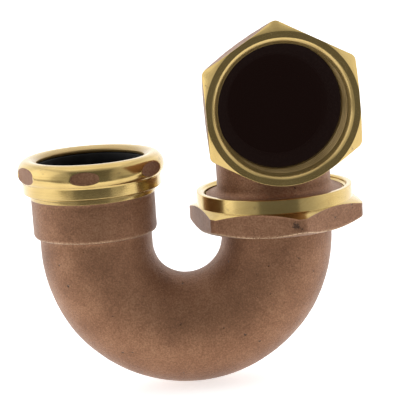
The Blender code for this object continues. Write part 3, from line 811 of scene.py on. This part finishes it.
ELBOW_ANGLES = hexagon_angles(200, OUTLET_CORNER, OUTLET_ROUND, OUTLET_APOTHEM)
skin("elbow_casting", elbow_outline, along_elbow, ELBOW_ANGLES, "elbow", "outlet_elbow", 0)

# %% [markdown]
# ## Studio and camera
#
# The trap stands in a white light tent. Brass shows what is round it, so the tent needs one dark thing: the
# gap that the camera looks through, which the turned faces mirror as a dark upright band. The tent is
# dimmer in front, overhead and low down at both sides, where a table would be. It is a world that is plain
# white to the camera, and has all this in it for every other ray.

# %% The light tent
TENT, FRONT_LOSS, OVERHEAD_LOSS, TABLE_LOSS = 1.45, 0.95, 0.35, 0.5
GAP_LOSS, GAP_HALF_WIDTH, GAP_SHIFT = 0.66, 0.48, 0.02


def light_tent():
    """A white world with a dark gap towards -Y."""
    world = bpy.data.worlds.new("tent")
    bpy.context.scene.world = world
    tree = Tree(world)
    direction = tree.add("ShaderNodeTexCoord", output="Generated")
    x, y, z = [tree.add("ShaderNodeSeparateXYZ", None, {0: direction}, axis) for axis in "XYZ"]
    sideways = x.math("ABSOLUTE", x + GAP_SHIFT)
    gap = (1 - sideways.step(GAP_HALF_WIDTH, GAP_HALF_WIDTH + 0.03)) * (1 - y.step(-0.5, -0.2))
    gap = gap * (1 - z.step(0.75, 0.9))
    front = 1 - y.step(-0.9, 0.1)
    table = sideways.step(0.6, 0.75) * (1 - z.step(-0.1, 0.0))
    glow = (TENT - FRONT_LOSS * front) * (1 - GAP_LOSS * gap) * (1 - OVERHEAD_LOSS * z.step(0.3, 0.9))
    glow = glow * (1 - TABLE_LOSS * table)
    seen = tree.add("ShaderNodeLightPath", output="Is Camera Ray")
    background = tree.nodes["Background"]
    tree.set(background.inputs["Color"], (1.0, 1.0, 1.0))
    tree.set(background.inputs["Strength"], seen + (1 - seen) * glow)


def softbox(name, place, aim, size, power):
    """An area light that faces a point."""
    light = bpy.data.lights.new(name, "AREA")
    light.shape, light.size, light.energy = "SQUARE", size, power
    lamp = bpy.data.objects.new(name, light)
    lamp.location = place
    lamp.rotation_euler = (Vector(aim) - Vector(place)).to_track_quat("-Z", "Y").to_euler()
    bpy.context.scene.collection.objects.link(lamp)


FLOOR_FRONT, FLOOR_LEFT, FLOOR_FAR = -0.12, -0.35, 3.0
WHITE = (0.92, 0.92, 0.92)


def pale_floor(level):
    """A plain white floor at a level; it ends just in front of the trap, where the gap begins."""
    bm = bmesh.new()
    front = [(FLOOR_LEFT, FLOOR_FRONT), (FLOOR_FAR, FLOOR_FRONT)]
    back = [(FLOOR_FAR, FLOOR_FAR), (-FLOOR_FAR, FLOOR_FAR)]
    bm.faces.new([bm.verts.new((x, y, level)) for x, y in front + back])
    mesh = bpy.data.meshes.new("floor")
    bm.to_mesh(mesh)
    bm.free()
    floor = bpy.data.objects.new("floor", mesh)
    bpy.context.scene.collection.objects.link(floor)
    glow = {"Emission_Color": WHITE, "Emission_Strength": 0.7}
    mesh.materials.append(Finish("white_floor", Base_Color=WHITE, Roughness=0.9, **glow).material)
    floor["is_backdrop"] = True


light_tent()
pale_floor(CAD_BOX[0][2] - 0.3 * MM)
CENTRE = Vector((UNION_X / 2, 0.0, 0.0))
softbox("left", (-0.8, 0.0, 0.35), CENTRE, 0.8, 0.8)
softbox("top", (0.0, 0.2, 0.9), CENTRE, 1.0, 1.5)
print("tent, floor and two softboxes are up")

# %% [markdown]
# The camera is a long lens a little to the left and above, and it is tipped by a few degrees.

# %% The camera
LENS, YAW, PITCH, ROLL = 138.8, math.radians(4.61), math.radians(11.2), math.radians(-3.83)
CAMERA_PLACE = Vector((-0.0049, -0.5725, 0.0974))

forward = Vector((math.sin(YAW) * math.cos(PITCH), math.cos(YAW) * math.cos(PITCH), -math.sin(PITCH)))
level_right = Vector((math.cos(YAW), -math.sin(YAW), 0.0))
level_up = level_right.cross(forward)
right = math.cos(ROLL) * level_right + math.sin(ROLL) * level_up
up = -math.sin(ROLL) * level_right + math.cos(ROLL) * level_up

lens = bpy.data.cameras.new("camera")
lens.lens, lens.sensor_width = LENS, 36.0
camera = bpy.data.objects.new("camera", lens)
turned = Matrix((right, up, -forward)).transposed().to_4x4()
camera.matrix_world = Matrix.Translation(CAMERA_PLACE) @ turned
bpy.context.scene.collection.objects.link(camera)
bpy.context.scene.camera = camera
bpy.context.scene.view_settings.view_transform = "Standard"
print("camera looks along", [round(v, 3) for v in forward])

# %% The sizes side by side
corners = {"cad": CAD_BOX, "visual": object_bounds()}
boxes = {name: [list(corner) for corner in box] for name, box in corners.items()}
print("visual box in mm:", [[round(1000 * v, 1) for v in corner] for corner in boxes["visual"]])
